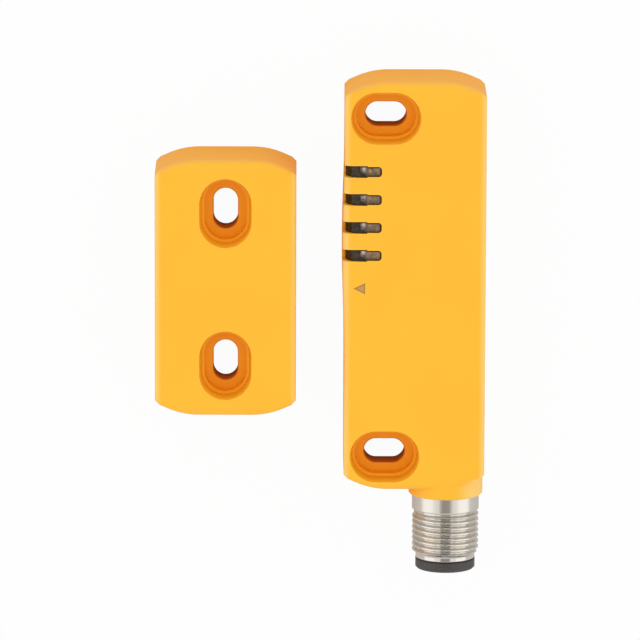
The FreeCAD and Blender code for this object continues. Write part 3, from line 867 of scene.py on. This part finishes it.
class SWITCH_OT_stage(bpy.types.Operator):
    """Set the floor, the soft light and the camera"""
    bl_idname = "switch.stage"
    bl_label = "Stage"

    def execute(self, context):
        self.floor()
        self.lights()
        self.camera(context)
        return {"FINISHED"}

    def floor(self):
        look = settings("switch_stage")
        half = look.floor_size / 2
        drop = -0.0002
        corners = [(-half, -half, drop), (half, -half, drop),
                   (half, half, drop), (-half, half, drop)]
        self.flat("floor", corners, white_floor)

    def card(self, look, camera_z):
        """A grey card over the camera, which shows as the dark band in bright metal."""
        x = CONNECTOR_X
        half = look.card_width / 2
        above_camera = 0.05
        share_below = 0.62
        z = camera_z + above_camera
        low_y = CONNECTOR_Y - look.card_height * share_below
        high_y = low_y + look.card_height
        self.flat("grey_card", [(x - half, low_y, z), (x - half, high_y, z),
                                (x + half, high_y, z), (x + half, low_y, z)], grey_card)

    def flat(self, name, corners, maker):
        mesh = bpy.data.meshes.new(name)
        mesh.from_pydata(corners, [], [(0, 1, 2, 3)])
        piece = bpy.data.objects.new(name, mesh)
        bpy.context.scene.collection.objects.link(piece)
        mesh.materials.append(finish_of(maker))

    def lights(self):
        look = settings("switch_stage")
        world = bpy.data.worlds.new("soft_room")
        bpy.context.scene.world = world
        self.room(world, look)
        x, y, z = look.side_place
        self.lamp("left_light", (-x, y, z), look.side_size, look.side_power)
        self.lamp("right_light", (x, y, z), look.side_size, look.side_power)
        self.lamp("end_light", look.end_place, look.end_size, look.end_power)

    def room(self, world, look):
        """An even white room. In metal it looks darker beyond the object's two ends: the
        brightness there falls with |y| of the direction that is looked in."""
        nodes = Nodes("soft_room", world)
        direction = nodes.add("ShaderNodeTexCoord", output="Generated")
        y = nodes.add("ShaderNodeSeparateXYZ", None, {0: direction}, output=1)
        mirrored = nodes.add("ShaderNodeLightPath", output="Is Glossy Ray")
        ends = y.maths("ABSOLUTE").ramp(0.40, 0.85) * mirrored
        level = look.room_level - ends * (look.room_level - look.dark_ends)
        light = nodes.add("ShaderNodeBackground", None, {"Color": (1.0, 1.0, 1.0, 1.0),
                                                         "Strength": level})
        nodes.add("ShaderNodeOutputWorld", None, {"Surface": light})

    def lamp(self, name, place, size, power):
        data = bpy.data.lights.new(name, "AREA")
        data.shape = "SQUARE"
        data.size = size
        data.energy = power
        lamp = bpy.data.objects.new(name, data)
        bpy.context.scene.collection.objects.link(lamp)
        lamp.location = place
        aim = Vector(settings("switch_stage").centre) - lamp.location
        lamp.rotation_euler = aim.to_track_quat("-Z", "Y").to_euler()

    def camera(self, context):
        look = settings("switch_stage")
        data = bpy.data.cameras.new("camera")
        data.lens = look.lens
        data.sensor_width = 36.0
        data.clip_end = 20.0
        camera = bpy.data.objects.new("camera", data)
        context.scene.collection.objects.link(camera)
        lean, side = look.elevation, look.azimuth
        back = Vector((math.sin(side) * math.cos(lean), math.sin(lean),
                       math.cos(side) * math.cos(lean)))
        right = Vector((math.cos(side), 0.0, -math.sin(side)))
        up = back.cross(right)
        turn = Matrix((right, up, back)).transposed()
        turn = turn @ Matrix.Rotation(look.roll, 3, "Z")
        camera.matrix_world = Matrix.Translation(Vector(look.centre) + back * look.distance) \
            @ turn.to_4x4()
        self.card(look, camera.matrix_world.translation.z)
        context.scene.camera = camera
        context.scene.view_settings.view_transform = "Standard"


OPERATORS = (SWITCH_OT_housings, SWITCH_OT_windows, SWITCH_OT_connector,
             SWITCH_OT_electronics, SWITCH_OT_marks, SWITCH_OT_stage)


class SWITCH_PT_panel(bpy.types.Panel):
    """The steps that finish the safety switch"""
    bl_idname = "SWITCH_PT_panel"
    bl_label = "Safety switch"
    bl_space_type = "VIEW_3D"
    bl_region_type = "UI"
    bl_category = "Safety switch"

    def draw(self, context):
        for operator in OPERATORS:
            self.layout.operator(operator.bl_idname)


def register():
    for name, group in SETTINGS.items():
        bpy.utils.register_class(group)
        setattr(bpy.types.Scene, name, bpy.props.PointerProperty(type=group))
    for item in OPERATORS + (SWITCH_PT_panel,):
        bpy.utils.register_class(item)


def unregister():
    for item in reversed(OPERATORS + (SWITCH_PT_panel,)):
        bpy.utils.unregister_class(item)
    for name, group in SETTINGS.items():
        delattr(bpy.types.Scene, name)
        bpy.utils.unregister_class(group)


def main():
    register()
    for operator in OPERATORS:
        group, step = operator.bl_idname.split(".")
        getattr(getattr(bpy.ops, group), step)()


if __name__ == "__main__":
    main()
